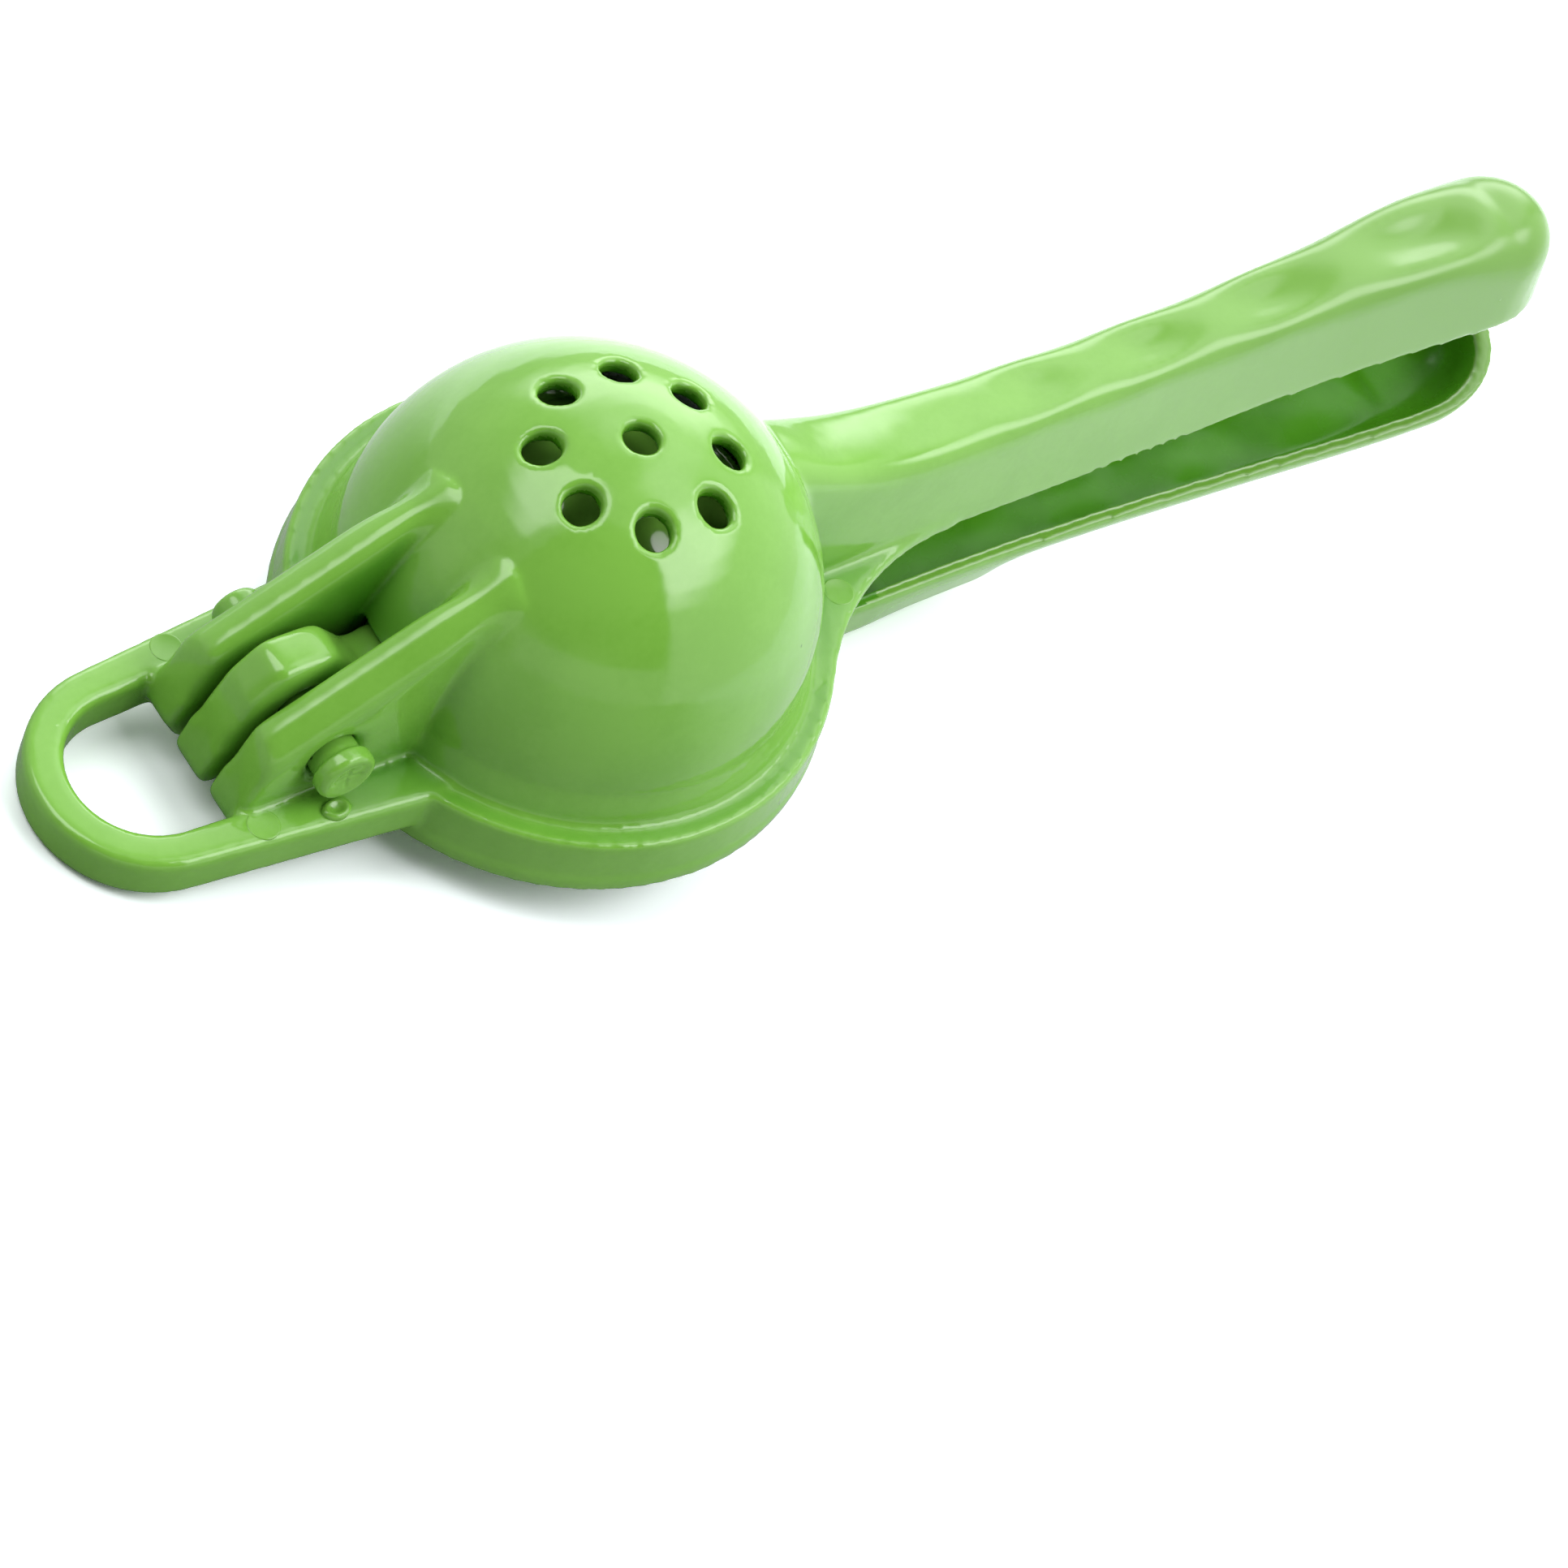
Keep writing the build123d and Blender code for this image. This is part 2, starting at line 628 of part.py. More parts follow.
def grip_ribs():
    """Round bars across the back of the lower handle, near the bowl."""
    ribs = []
    for index in range(GRIP_COUNT):
        run = GRIP_START + GRIP_PITCH * index
        place = Pos(rim_radius + run, 0, grip_height(run)) * Rot(90, 0, 0)
        ribs.append(place * Cylinder(GRIP_RADIUS, GRIP_WIDTH))
    return ribs


def lower_handle():
    """Trough of the lower handle, open above, with its grip ribs."""
    handle = handle_body(LOWER_STATIONS, -1, LOWER_TIP_STRETCH)
    run, width, rim_z, depth, shoulder, crown = LOWER_STATIONS[0]
    root_x = rim_radius + run
    ends = [e for e in handle.edges() if abs(e.center().X - root_x) < 0.5]
    ends = [e for e in ends if e.center().Z < rim_z - 0.5]
    handle = fillet(ends, ROOT_EDGE)
    channel = handle_body(LOWER_STATIONS, -1, LOWER_TIP_STRETCH, HANDLE_WALL, 1.0)
    end_wall = (4 * ROOT_WALL, 4 * width, 4 * depth)
    channel -= Pos(root_x - ROOT_WALL, 0, rim_z) * Box(*end_wall)
    handle -= channel
    for rib in grip_ribs():
        handle += rib
    return handle


def press_lever():
    """Press, knuckle, neck and lower handle in one moulding."""
    body = press_cup() + knuckle() + neck()
    body -= press_core()
    body += lower_handle()
    body -= pin_bore(PIN_RADIUS + PIN_PLAY)
    return body


def hinge_pin():
    """Pin with a low head on the near side and a rounded end on the far side."""
    near = ear_outer + PIN_PROUD_NEAR
    length = near + ear_outer + PIN_PROUD_FAR
    shaft = Pos(0, 0, -length / 2) * Cylinder(PIN_RADIUS, length)
    far_rim = shaft.edges().filter_by(GeomType.CIRCLE).sort_by(Axis.Z)[0]
    shaft = fillet(far_rim, PIN_EDGE)
    head = Pos(0, 0, -PIN_HEAD_LENGTH / 2) * Cylinder(PIN_HEAD_RADIUS, PIN_HEAD_LENGTH)
    near_rim = head.edges().filter_by(GeomType.CIRCLE).sort_by(Axis.Z)[-1]
    head = fillet(near_rim, PIN_EDGE * 0.8)
    return Pos(pin_x, -near, PIN_Z) * Rot(90, 0, 0) * (shaft + head)


def rest_tilt():
    """Angle, in degrees, that lays the loop's end and the lower handle's back on the table."""
    touch = [(GRIP_START, grip_height(GRIP_START) - GRIP_RADIUS)]
    for run, width, z, height, shoulder, crown in LOWER_STATIONS:
        touch.append((run, z - height))
    slopes = [math.atan2(-PLATE_DEPTH - z, rim_radius + run - loop_end_x) for run, z in touch]
    return math.degrees(max(slopes))


def settle(shape):
    """Turns a closed-pose shape onto the table and sets the loop's end on z = 0."""
    turn = Pos(loop_end_x, 0, 0) * Rot(0, -rest_tilt(), 0)
    return turn * Pos(-loop_end_x, 0, PLATE_DEPTH) * shape


def main():
    os.makedirs("parts", exist_ok=True)
    pieces = {
        "bowl_lever": settle(bowl_lever()),
        "press_lever": settle(press_lever()),
        "hinge_pin": settle(hinge_pin()),
    }
    boxes = [piece.bounding_box() for piece in pieces.values()]
    middle_x = (min(box.min.X for box in boxes) + max(box.max.X for box in boxes)) / 2
    home = Pos(-middle_x, 0, -min(box.min.Z for box in boxes))
    for name, piece in pieces.items():
        export_step(home * piece, f"parts/{name}.step")


main()
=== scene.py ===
"""Looks of the hinged lemon squeezer: green gloss plastic on a white sweep under soft studio light."""

import math

import bmesh
import bpy
import numpy as np
from mathutils import Matrix, Vector


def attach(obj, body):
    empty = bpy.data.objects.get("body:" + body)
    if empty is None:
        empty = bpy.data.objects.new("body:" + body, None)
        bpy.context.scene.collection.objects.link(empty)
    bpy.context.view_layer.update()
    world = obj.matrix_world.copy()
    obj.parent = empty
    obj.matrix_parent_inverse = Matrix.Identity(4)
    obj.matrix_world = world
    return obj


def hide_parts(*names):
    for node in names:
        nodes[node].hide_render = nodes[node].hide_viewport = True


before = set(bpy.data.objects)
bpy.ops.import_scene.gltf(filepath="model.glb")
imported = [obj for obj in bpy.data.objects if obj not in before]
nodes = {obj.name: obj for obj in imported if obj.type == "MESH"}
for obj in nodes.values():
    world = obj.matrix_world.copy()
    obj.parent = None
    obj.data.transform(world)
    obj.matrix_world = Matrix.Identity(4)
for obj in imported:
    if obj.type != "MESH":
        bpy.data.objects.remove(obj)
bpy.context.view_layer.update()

# Camera: its focal length in pixels of the square picture, and its place and aim in the levers' own frame
PICTURE_WIDTH = 1932
FOCAL_PIXELS = 6570.9
SENSOR_MM = 36.0
CAMERA_PLACE = Vector((-328.77, -253.45, 508.02))
CAMERA_RIGHT = Vector((0.7901, -0.5362, 0.2969))
CAMERA_UP = Vector((0.3183, 0.773, 0.5488))

# The closed levers lie tilted on the table about the loop's end; sizes in millimetres
TILT = math.radians(9.0942)
LOOP_END_X = -73.55
PLATE_DEPTH = 6.5
HOME = Vector((-42.8836, 0.0, 0.0163))

MM_PER_M = 1000

# Plastic: colours of its outside, clouded, with a painted highlight on edges, and painted shade in hollows
# and towards the ends of the handles
GREEN = (0.185, 0.43, 0.058)
GREEN_DEEP = (0.16, 0.39, 0.045)
GREEN_EDGE_HIGHLIGHT = (0.26, 0.52, 0.11)
GREEN_HOLLOW_SHADE = (0.085, 0.31, 0.016)
GREEN_TIP_SHADE = (0.138, 0.325, 0.038)
SPECK = (0.03, 0.075, 0.015)

# Sizes of its unevenness in millimetres
CLOUD_SIZE = 14.0
GRAIN_SIZE = 0.9
SMEAR_SIZE = 9.0
WAVE_SIZE = 16.0
WAVE_HEIGHT = 0.05
PEEL_SIZE = 1.6
PEEL_HEIGHT = 0.004
SPECK_GRID = 14.0
EDGE_ROUND = 0.25
HOLLOW_REACH = 14.0

# Shares and ramps of the plastic: each ramp is low, high, and what it gives there if not 0 and 1
CLOUD_SHARE = 0.8
GRAIN_SHARE = 0.2
CLOUD_RAMP = (0.35, 0.65)
EDGE_RAMP = (0.995, 0.85)
EDGE_GRAIN_RAMP = (0.3, 0.6, 0.3, 1.0)
EDGE_HIGHLIGHT_SHARE = 0.6
HOLLOW_SHADE_RAMP = (0.78, 0.4)
PALM_DULL_AND_SHADE_RAMP = (0.0, 0.11)
SPECK_RAMP = (0.034, 0.022, 0.0, 0.8)
ROUGH_RAMP = (0.35, 0.75, 0.07, 0.15)
HOLLOW_DULL = 0.25
PALM_DULL = 0.14
EDGE_DULL = 0.12
PLASTIC_IOR = 1.56

# Inner side of the mouldings, its green darker as painted shade
GREEN_CORE_SHADE = (0.06, 0.25, 0.006)
CORE_CLOUD_SIZE = 11.0
CORE_CLOUD_RAMP = (0.3, 0.7)
CORE_SMEAR_SIZE = 6.0
CORE_ROUGH_RAMP = (0.3, 0.7, 0.2, 0.32)
CORE_WAVE_SIZE = 9.0
CORE_IOR = 1.25

# Softened meshes: grid in millimetres, passes and strength of smoothing, and share of the faces kept
GRID = 0.42
PIN_GRID = 0.2
SOFTENING = 0.5
PASSES = 3
HANDLE_PASSES = 7
HANDLE_X = (30.0, 40.0)
EAR_PASSES = 30
KEPT_FACES = 0.4

# Where the hinge end and the ears' upper ends are smoothed more, in the levers' own frame;
# each span runs from no smoothing to all of it, and RISE is the height over the dome
HINGE_FRONT_X = (-14.0, -20.0)
HINGE_BACK_X = (-60.0, -54.0)
HINGE_Z = (0.8, 3.0)
HINGE_RISE = (0.2, 1.6)
TIP_BACK_X = (-28.0, -23.0)
TIP_FRONT_X = (-13.0, -17.0)
TIP_Z = (3.0, 6.0)
TIP_RISE = (0.1, 0.8)

# Ears of the hinge in the levers' own frame: their sides and middle, where they start to taper, and their end
EAR_SIDES_Y = (3.5, 12.0)
EAR_MIDDLE_Y = 7.65
EAR_TAPER_X = -31.0
EAR_END_X = -19.9
EAR_LAST_X = -10.0
EAR_LOWEST_Z = 3.0
EAR_RISE = (0.1, 1.2)
EAR_TIP_WIDTH = 0.65
EAR_TIP_HEIGHT = 0.6

# Dome's outer sphere, and the height over it, here below, where the bowl's inside begins
DOME_RADIUS = 30.65
DOME_CENTRE_Z = 4.3
BOWL_INSIDE = -1.2

# Handles in the levers' own frame: where the channels start, how many slices to each side even out a lip,
# and how far under the lip the inner side begins
CHANNEL_X = 38.0
LIP_SPAN = 2
INNER_DEPTH = 0.6

# Lower handle: how much shallower it gets, and how its walls lean inwards, less over the grip ribs
SHALLOW_X = (50.0, 85.0)
SHALLOW_DEPTH = 0.85
TROUGH_LEAN = 0.3
TROUGH_LEAN_X = (42.0, 60.0)
TROUGH_LEAN_DEPTH = (1.5, 11.0)
RIB_SHARE = 0.55
RIBS_START_X = (44.0, 52.0)
RIBS_END_X = (78.0, 70.0)

# Pin's end faces: dish and crossed marks, in millimetres
PIN_DISH = 0.35
PIN_DISH_FLAT = 0.8
PIN_DISH_RADIUS = 2.9
PIN_END_DEPTH = (1.3, 0.5)
PIN_MARK = 0.16
PIN_MARK_HALF = (0.32, 0.1)
PIN_MARK_RADIUS = (2.2, 1.6)

# Marks of the mould: places in the levers' own frame, profiles as radius and height, in millimetres
GATE_PLACE = (-42.5, -14.6)
GATE_PROFILE = [(1.4, -0.4), (1.35, 0.3), (1.15, 0.62), (0.85, 0.66), (0.55, 0.34), (0.1, 0.28)]
GATE_STRETCH = 1.4
EJECTOR_PLACES = [(-49.7, 13.3), (-51.7, -13.0), (35.2, -11.3)]
EJECTOR_PROFILE = [(2.1, -0.3), (2.07, 0.01), (2.0, 0.035), (1.9, 0.03), (1.8, 0.01), (0.1, 0.01)]
MARK_SIDES = 48
MARK_START = 60.0

# Studio: strengths of the surroundings, where 1 is white
ROOM = 0.7
# Painted shade and light on the floor: its colour is darker towards FLOOR_DIM_AZIMUTH, and brighter than
# white in reflections
FLOOR_DIM = 0.45
FLOOR_DIM_AZIMUTH = 195
FLOOR_WHITE = 0.85
FLOOR_GLOSS_DIM = 0.6
FLOOR_GLOSS = 1.25
FLOOR_SEEN = 1.3
FLOOR_TINT = (0.955, 1.0, 1.03)
FLOOR_SIZE = 3.0
FLOOR_FADE = (-0.1, 0.08)

# Patches of the studio: azimuth from +X towards +Y, half width and softness of the sides,
# low and high edge and their softness, in degrees; then the strength
PATCHES = {
    "right wall": (320, 48, 3, -95, 44, 5, 1.4),
    "left wall": (190, 26, 8, -95, 40, 10, 0.22),
    "front wall": (238, 35, 4, -95, 16, 3, 0.78),
    "far wall": (118, 40, 10, -95, 26, 8, 0.8),
    "window": (50, 28, 10, 14, 40, 8, 4.4),
    "sky light": (40, 34, 14, 40, 62, 10, 2.4),
    "far box": (143, 25, 4, 42, 78, 6, 4.6),
    "key box": (311, 38, 5, 42, 70, 6, 5.9),
    "back box": (5, 30, 14, 56, 80, 8, 2.7),
    "dark room": (226, 47, 2, 16, 76, 3, 0.02),
}


def settle_matrix():
    """Millimetres of the levers' own frame to metres of the table's frame."""
    back = Matrix.Translation(Vector((-LOOP_END_X, 0, PLATE_DEPTH)))
    turn = Matrix.Rotation(-TILT, 4, "Y")
    forth = Matrix.Translation(Vector((LOOP_END_X, 0, 0)) + HOME)
    return Matrix.Scale(1 / MM_PER_M, 4) @ forth @ turn @ back


def make_camera():
    """Camera at the photograph's place and angle."""
    data = bpy.data.cameras.new("camera")
    data.sensor_width = SENSOR_MM
    data.lens = FOCAL_PIXELS / PICTURE_WIDTH * SENSOR_MM
    data.clip_start = 0.05
    data.clip_end = 20
    camera = bpy.data.objects.new("camera", data)
    bpy.context.scene.collection.objects.link(camera)
    settle = settle_matrix()
    turn = settle.to_3x3().normalized()
    right = turn @ CAMERA_RIGHT
    up = turn @ CAMERA_UP
    aim = Matrix((right, up, right.cross(up))).transposed().to_4x4()
    camera.matrix_world = Matrix.Translation(settle @ CAMERA_PLACE) @ aim
    bpy.context.scene.camera = camera


class Graph:
    """Adds and links shader nodes of one tree."""

    def __init__(self, tree):
        self.tree = tree

    def node(self, kind, **settings):
        node = self.tree.nodes.new(kind)
        for key, value in settings.items():
            setattr(node, key, value)
        return node

    def feed(self, socket, value):
        if isinstance(value, bpy.types.NodeSocket):
            self.tree.links.new(value, socket)
        else:
            socket.default_value = value

    def math(self, operation, *values, clamp=False):
        node = self.node("ShaderNodeMath", operation=operation, use_clamp=clamp)
        for socket, value in zip(node.inputs, values):
            self.feed(socket, value)
        return node.outputs[0]

    def ramp(self, value, low, high, from_value=0.0, to_value=1.0):
        """Smooth step from from_value at low to to_value at high."""
        node = self.node("ShaderNodeMapRange", interpolation_type="SMOOTHSTEP")
        for name, item in (
            ("Value", value),
            ("From Min", low),
            ("From Max", high),
            ("To Min", from_value),
            ("To Max", to_value),
        ):
            self.feed(node.inputs[name], item)
        return node.outputs["Result"]

    def noise(self, place, size_mm, detail=2.0):
        node = self.node("ShaderNodeTexNoise")
        self.feed(node.inputs["Vector"], place)
        node.inputs["Scale"].default_value = MM_PER_M / size_mm
        node.inputs["Detail"].default_value = detail
        return node.outputs["Fac"]

    def mix(self, factor, first, second):
        node = self.node("ShaderNodeMix", data_type="RGBA")
        self.feed(node.inputs["Factor"], factor)
        for name, colour in (("A", first), ("B", second)):
            socket = [item for item in node.inputs if item.name == name and item.type == "RGBA"][0]
            self.feed(socket, (*colour, 1) if isinstance(colour, tuple) else colour)
        return [item for item in node.outputs if item.type == "RGBA"][0]

    def bump(self, height, height_mm, normal):
        node = self.node("ShaderNodeBump")
        node.inputs["Distance"].default_value = height_mm / MM_PER_M
        self.feed(node.inputs["Height"], height)
        self.feed(node.inputs["Normal"], normal)
        return node.outputs["Normal"]


def new_plastic(name):
    """Material with nodes; gives it with its graph, its shader and the piece's own coordinates."""
    material = bpy.data.materials.new(name)
    material.use_nodes = True
    graph = Graph(material.node_tree)
    place = graph.node("ShaderNodeTexCoord").outputs["Object"]
    return material, graph, material.node_tree.nodes["Principled BSDF"], place


def green_plastic(name):
    """Glossy moulded plastic: faintly clouded, with an uneven polish and dark specks, a painted highlight on
    edges, and painted shade in hollows and towards the handles' ends.
    """
    material, graph, shader, place = new_plastic(name)
    cloud = graph.noise(place, CLOUD_SIZE, detail=3)
    grain = graph.noise(place, GRAIN_SIZE, detail=2)
    grained = graph.math("MULTIPLY", grain, GRAIN_SHARE)
    shade = graph.math("ADD", graph.math("MULTIPLY", cloud, CLOUD_SHARE), grained)
    colour = graph.mix(graph.ramp(shade, *CLOUD_RAMP), GREEN_DEEP, GREEN)
    rounded = graph.node("ShaderNodeBevel", samples=4)
    rounded.inputs["Radius"].default_value = EDGE_ROUND / MM_PER_M
    flat = graph.node("ShaderNodeNewGeometry").outputs["Normal"]
    bend = graph.node("ShaderNodeVectorMath", operation="DOT_PRODUCT")
    graph.feed(bend.inputs[0], rounded.outputs[0])
    graph.feed(bend.inputs[1], flat)
    edge = graph.ramp(bend.outputs["Value"], *EDGE_RAMP)
    edge = graph.math("MULTIPLY", edge, graph.ramp(grain, *EDGE_GRAIN_RAMP))
    open_sky = graph.node("ShaderNodeAmbientOcclusion", samples=6, only_local=True)
    open_sky.inputs["Distance"].default_value = HOLLOW_REACH / MM_PER_M
    hollow_shade = graph.ramp(open_sky.outputs["AO"], *HOLLOW_SHADE_RAMP)
    # Painted shade: darker green in hollows and gaps, where the occlusion finds little open sky
    colour = graph.mix(hollow_shade, colour, GREEN_HOLLOW_SHADE)
    split = graph.node("ShaderNodeSeparateXYZ")
    graph.feed(split.inputs[0], place)
    # Painted shade: darker green towards the handles' ends; the same share also makes them duller
    palm_dull_and_shade = graph.ramp(split.outputs[0], *PALM_DULL_AND_SHADE_RAMP)
    colour = graph.mix(palm_dull_and_shade, colour, GREEN_TIP_SHADE)
    # Painted highlight: lighter green along the rounded edges
    colour = graph.mix(graph.math("MULTIPLY", edge, EDGE_HIGHLIGHT_SHARE), colour, GREEN_EDGE_HIGHLIGHT)
    cells = graph.node("ShaderNodeTexVoronoi")
    graph.feed(cells.inputs["Vector"], place)
    cells.inputs["Scale"].default_value = MM_PER_M / SPECK_GRID
    speck = graph.ramp(cells.outputs["Distance"], *SPECK_RAMP)
    graph.feed(shader.inputs["Base Color"], graph.mix(speck, colour, SPECK))
    rough = graph.ramp(graph.noise(place, SMEAR_SIZE, detail=4), *ROUGH_RAMP)
    for share, dull in ((hollow_shade, HOLLOW_DULL), (palm_dull_and_shade, PALM_DULL), (edge, EDGE_DULL)):
        rough = graph.math("ADD", rough, graph.math("MULTIPLY", share, dull))
    graph.feed(shader.inputs["Roughness"], rough)
    wave = graph.bump(graph.noise(place, WAVE_SIZE, detail=1), WAVE_HEIGHT, rounded.outputs[0])
    peel = graph.bump(graph.noise(place, PEEL_SIZE, detail=1), PEEL_HEIGHT, wave)
    graph.feed(shader.inputs["Normal"], peel)
    shader.inputs["IOR"].default_value = PLASTIC_IOR
    return material


def shaded_core_plastic(name):
    """The moulding's inner side: duller, as the core of the mould leaves it, and a deeper green that paints
    the shade inside the channel and bowl.
    """
    material, graph, shader, place = new_plastic(name)
    cloud = graph.ramp(graph.noise(place, CORE_CLOUD_SIZE, detail=3), *CORE_CLOUD_RAMP)
    # Painted shade: dark greens on the inner faces
    graph.feed(shader.inputs["Base Color"], graph.mix(cloud, GREEN_CORE_SHADE, GREEN_HOLLOW_SHADE))
    rough = graph.ramp(graph.noise(place, CORE_SMEAR_SIZE, detail=4), *CORE_ROUGH_RAMP)
    graph.feed(shader.inputs["Roughness"], rough)
    flat = graph.node("ShaderNodeNewGeometry").outputs["Normal"]
    wave = graph.bump(graph.noise(place, CORE_WAVE_SIZE, detail=1), WAVE_HEIGHT, flat)
    graph.feed(shader.inputs["Normal"], wave)
    shader.inputs["IOR"].default_value = CORE_IOR
    return material


def smooth_step(values, low, high):
    """0 at low, 1 at high."""
    share = np.clip((values - low) / (high - low), 0, 1)
    return share * share * (3 - 2 * share)


def relax(places, edges, weights, passes):
    """Moves each point towards the middle of its neighbours."""
    total = len(places)
    count = np.bincount(edges.ravel(), minlength=total)
    for _ in range(passes):
        for axis in range(3):
            line = places[:, axis]
            near = np.bincount(edges[:, 0], line[edges[:, 1]], total)
            near += np.bincount(edges[:, 1], line[edges[:, 0]], total)
            line += weights * (near / count - line)


def dome_height(places):
    """Height over the dome's outer sphere; millimetres, levers' own frame."""
    return np.linalg.norm(places - (0, 0, DOME_CENTRE_Z), axis=1) - DOME_RADIUS


def taper_ears(places):
    """Narrows and lowers the ears' upper ends, where they run out on the dome."""
    x, y, z = places.T
    height = dome_height(places)
    on_ear = smooth_step(height, *EAR_RISE) * (x < EAR_LAST_X) * (z > EAR_LOWEST_Z)
    on_ear *= (np.abs(y) > EAR_SIDES_Y[0]) * (np.abs(y) < EAR_SIDES_Y[1])
    run = smooth_step(x, EAR_TAPER_X, EAR_END_X) * on_ear
    y += (np.sign(y) * EAR_MIDDLE_Y - y) * run * (1 - EAR_TIP_WIDTH)
    lower = run * (1 - EAR_TIP_HEIGHT) * height / (height + DOME_RADIUS)
    x -= x * lower
    z -= (z - DOME_CENTRE_Z) * lower


def lip_line(places, upwards):
    """Heights of a channel's lip along X, from the furthest point of each slice, evened out."""
    bins = np.clip(places[:, 0].astype(int), 0, None)
    lip = np.full(bins.max() + 1, -np.inf)
    np.maximum.at(lip, bins, upwards * places[:, 2])
    ends = np.pad(lip, LIP_SPAN, mode="edge")
    even = np.convolve(ends, np.ones(2 * LIP_SPAN + 1) / (2 * LIP_SPAN + 1), mode="valid")
    return np.arange(len(lip)) + 0.5, upwards * even


def flatten_trough(places):
    """Leans the lower handle's walls inwards and makes it shallower towards its end."""
    lip = np.interp(places[:, 0], *lip_line(places, 1))
    share = 1 - (1 - SHALLOW_DEPTH) * smooth_step(places[:, 0], *SHALLOW_X)
    depth = lip - places[:, 2]
    over_ribs = smooth_step(places[:, 0], *RIBS_START_X) * smooth_step(places[:, 0], *RIBS_END_X)
    narrow = TROUGH_LEAN * smooth_step(depth, *TROUGH_LEAN_DEPTH) * smooth_step(places[:, 0], *TROUGH_LEAN_X)
    narrow *= 1 - RIB_SHARE * over_ribs
    places[:, 1] *= 1 - narrow
    places[:, 2] += depth * (1 - share) * (places[:, 0] > SHALLOW_X[0])


def dish_pin(places):
    """Dishes the pin's end faces and marks a faint cross on them."""
    ends = np.abs(places[:, 1]).max()
    x = places[:, 0] - places[:, 0].mean()
    z = places[:, 2] - places[:, 2].mean()
    radius = np.hypot(x, z)
    on_end = smooth_step(ends - np.abs(places[:, 1]), *PIN_END_DEPTH)
    dish = PIN_DISH * (1 - smooth_step(radius, PIN_DISH_FLAT, PIN_DISH_RADIUS))
    cross = smooth_step(np.minimum(np.abs(x), np.abs(z)), *PIN_MARK_HALF)
    cross *= smooth_step(radius, *PIN_MARK_RADIUS)
    places[:, 1] -= np.sign(places[:, 1]) * on_end * (dish + PIN_MARK * cross)


def inner_faces(places, centres, normals, name):
    """Faces of the channel and the bowl that the mould's core shaped; they get the core material's painted
    shade.
    """
    x, y, z = centres.T
    upwards = -1 if name == "bowl_lever" else 1
    own_lip = np.interp(x, *lip_line(places, upwards))
    inward = -y * normals[:, 1] + (own_lip - z) * normals[:, 2]
    depth = upwards * (own_lip - z)
    channel = (x > CHANNEL_X) * (depth > INNER_DEPTH) * (inward > 0)
    if name == "press_lever":
        return channel
    bowl = dome_height(centres) < BOWL_INSIDE
    return channel | (bowl & (z > 0) & (x < CHANNEL_X))


def read_vectors(items, key):
    """Vectors of a mesh's points or faces, one in each row."""
    values = np.empty(len(items) * 3)
    items.foreach_get(key, values)
    return values.reshape(-1, 3)


def apply_modifier(piece):
    """Gives the piece the mesh that its modifier makes."""
    graph = bpy.context.evaluated_depsgraph_get()
    mesh = bpy.data.meshes.new_from_object(piece.evaluated_get(graph))
    piece.modifiers.clear()
    piece.data = mesh
    return mesh


def soften(own, edges, name):
    """Shapes and smooths a moulding's points, in the levers' own frame."""
    if name == "bowl_lever":
        taper_ears(own)
    if name == "press_lever":
        flatten_trough(own)
    relax(own, edges, SOFTENING, PASSES)
    relax(own, edges, SOFTENING * smooth_step(own[:, 0], *HANDLE_X), HANDLE_PASSES)
    if name == "hinge_pin":
        dish_pin(own)
        return
    by_hinge = smooth_step(own[:, 0], *HINGE_FRONT_X) * smooth_step(own[:, 0], *HINGE_BACK_X)
    by_hinge *= smooth_step(own[:, 2], *HINGE_Z) * smooth_step(dome_height(own), *HINGE_RISE)
    relax(own, edges, SOFTENING * by_hinge, EAR_PASSES)
    at_tips = smooth_step(own[:, 0], *TIP_BACK_X) * smooth_step(own[:, 0], *TIP_FRONT_X)
    at_tips *= np.abs(own[:, 1]) < EAR_SIDES_Y[1]
    at_tips *= smooth_step(own[:, 2], *TIP_Z) * smooth_step(dome_height(own), *TIP_RISE)
    relax(own, edges, SOFTENING * at_tips, EAR_PASSES)


def moulded(name, body, grid):
    """Stand-in for a CAD node with the soft edges of a moulding."""
    piece = bpy.data.objects.new(name + "_moulding", nodes[name].data.copy())
    bpy.context.scene.collection.objects.link(piece)
    remesh = piece.modifiers.new("remesh", "REMESH")
    remesh.mode = "VOXEL"
    remesh.voxel_size = grid / MM_PER_M
    mesh = apply_modifier(piece)
    settle = np.array(settle_matrix())
    own = (read_vectors(mesh.vertices, "co") - settle[:3, 3]) @ np.linalg.inv(settle[:3, :3]).T
    edges = np.empty(len(mesh.edges) * 2, dtype=np.int32)
    mesh.edges.foreach_get("vertices", edges)
    soften(own, edges.reshape(-1, 2), name)
    mesh.vertices.foreach_set("co", (own @ settle[:3, :3].T + settle[:3, 3]).ravel())
    if name != "hinge_pin":
        piece.modifiers.new("thin", "DECIMATE").ratio = KEPT_FACES
        mesh = apply_modifier(piece)
    mesh.materials.clear()
    mesh.materials.append(green_plastic("plastic_" + name))
    if name != "hinge_pin":
        mesh.materials.append(shaded_core_plastic("core_" + name))
        mark_inside(mesh, settle, name)
    for polygon in mesh.polygons:
        polygon.use_smooth = True
    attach(piece, body)
    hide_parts(name)
    return piece


def mark_inside(mesh, settle, name):
    """Gives the inner faces the second material, with its painted shade."""
    back = np.linalg.inv(settle[:3, :3]).T
    own = (read_vectors(mesh.vertices, "co") - settle[:3, 3]) @ back
    centres = (read_vectors(mesh.polygons, "center") - settle[:3, 3]) @ back
    normals = read_vectors(mesh.polygons, "normal") @ back / MM_PER_M
    inside = inner_faces(own, centres, normals, name)
    mesh.polygons.foreach_set("material_index", inside.astype(np.int32))


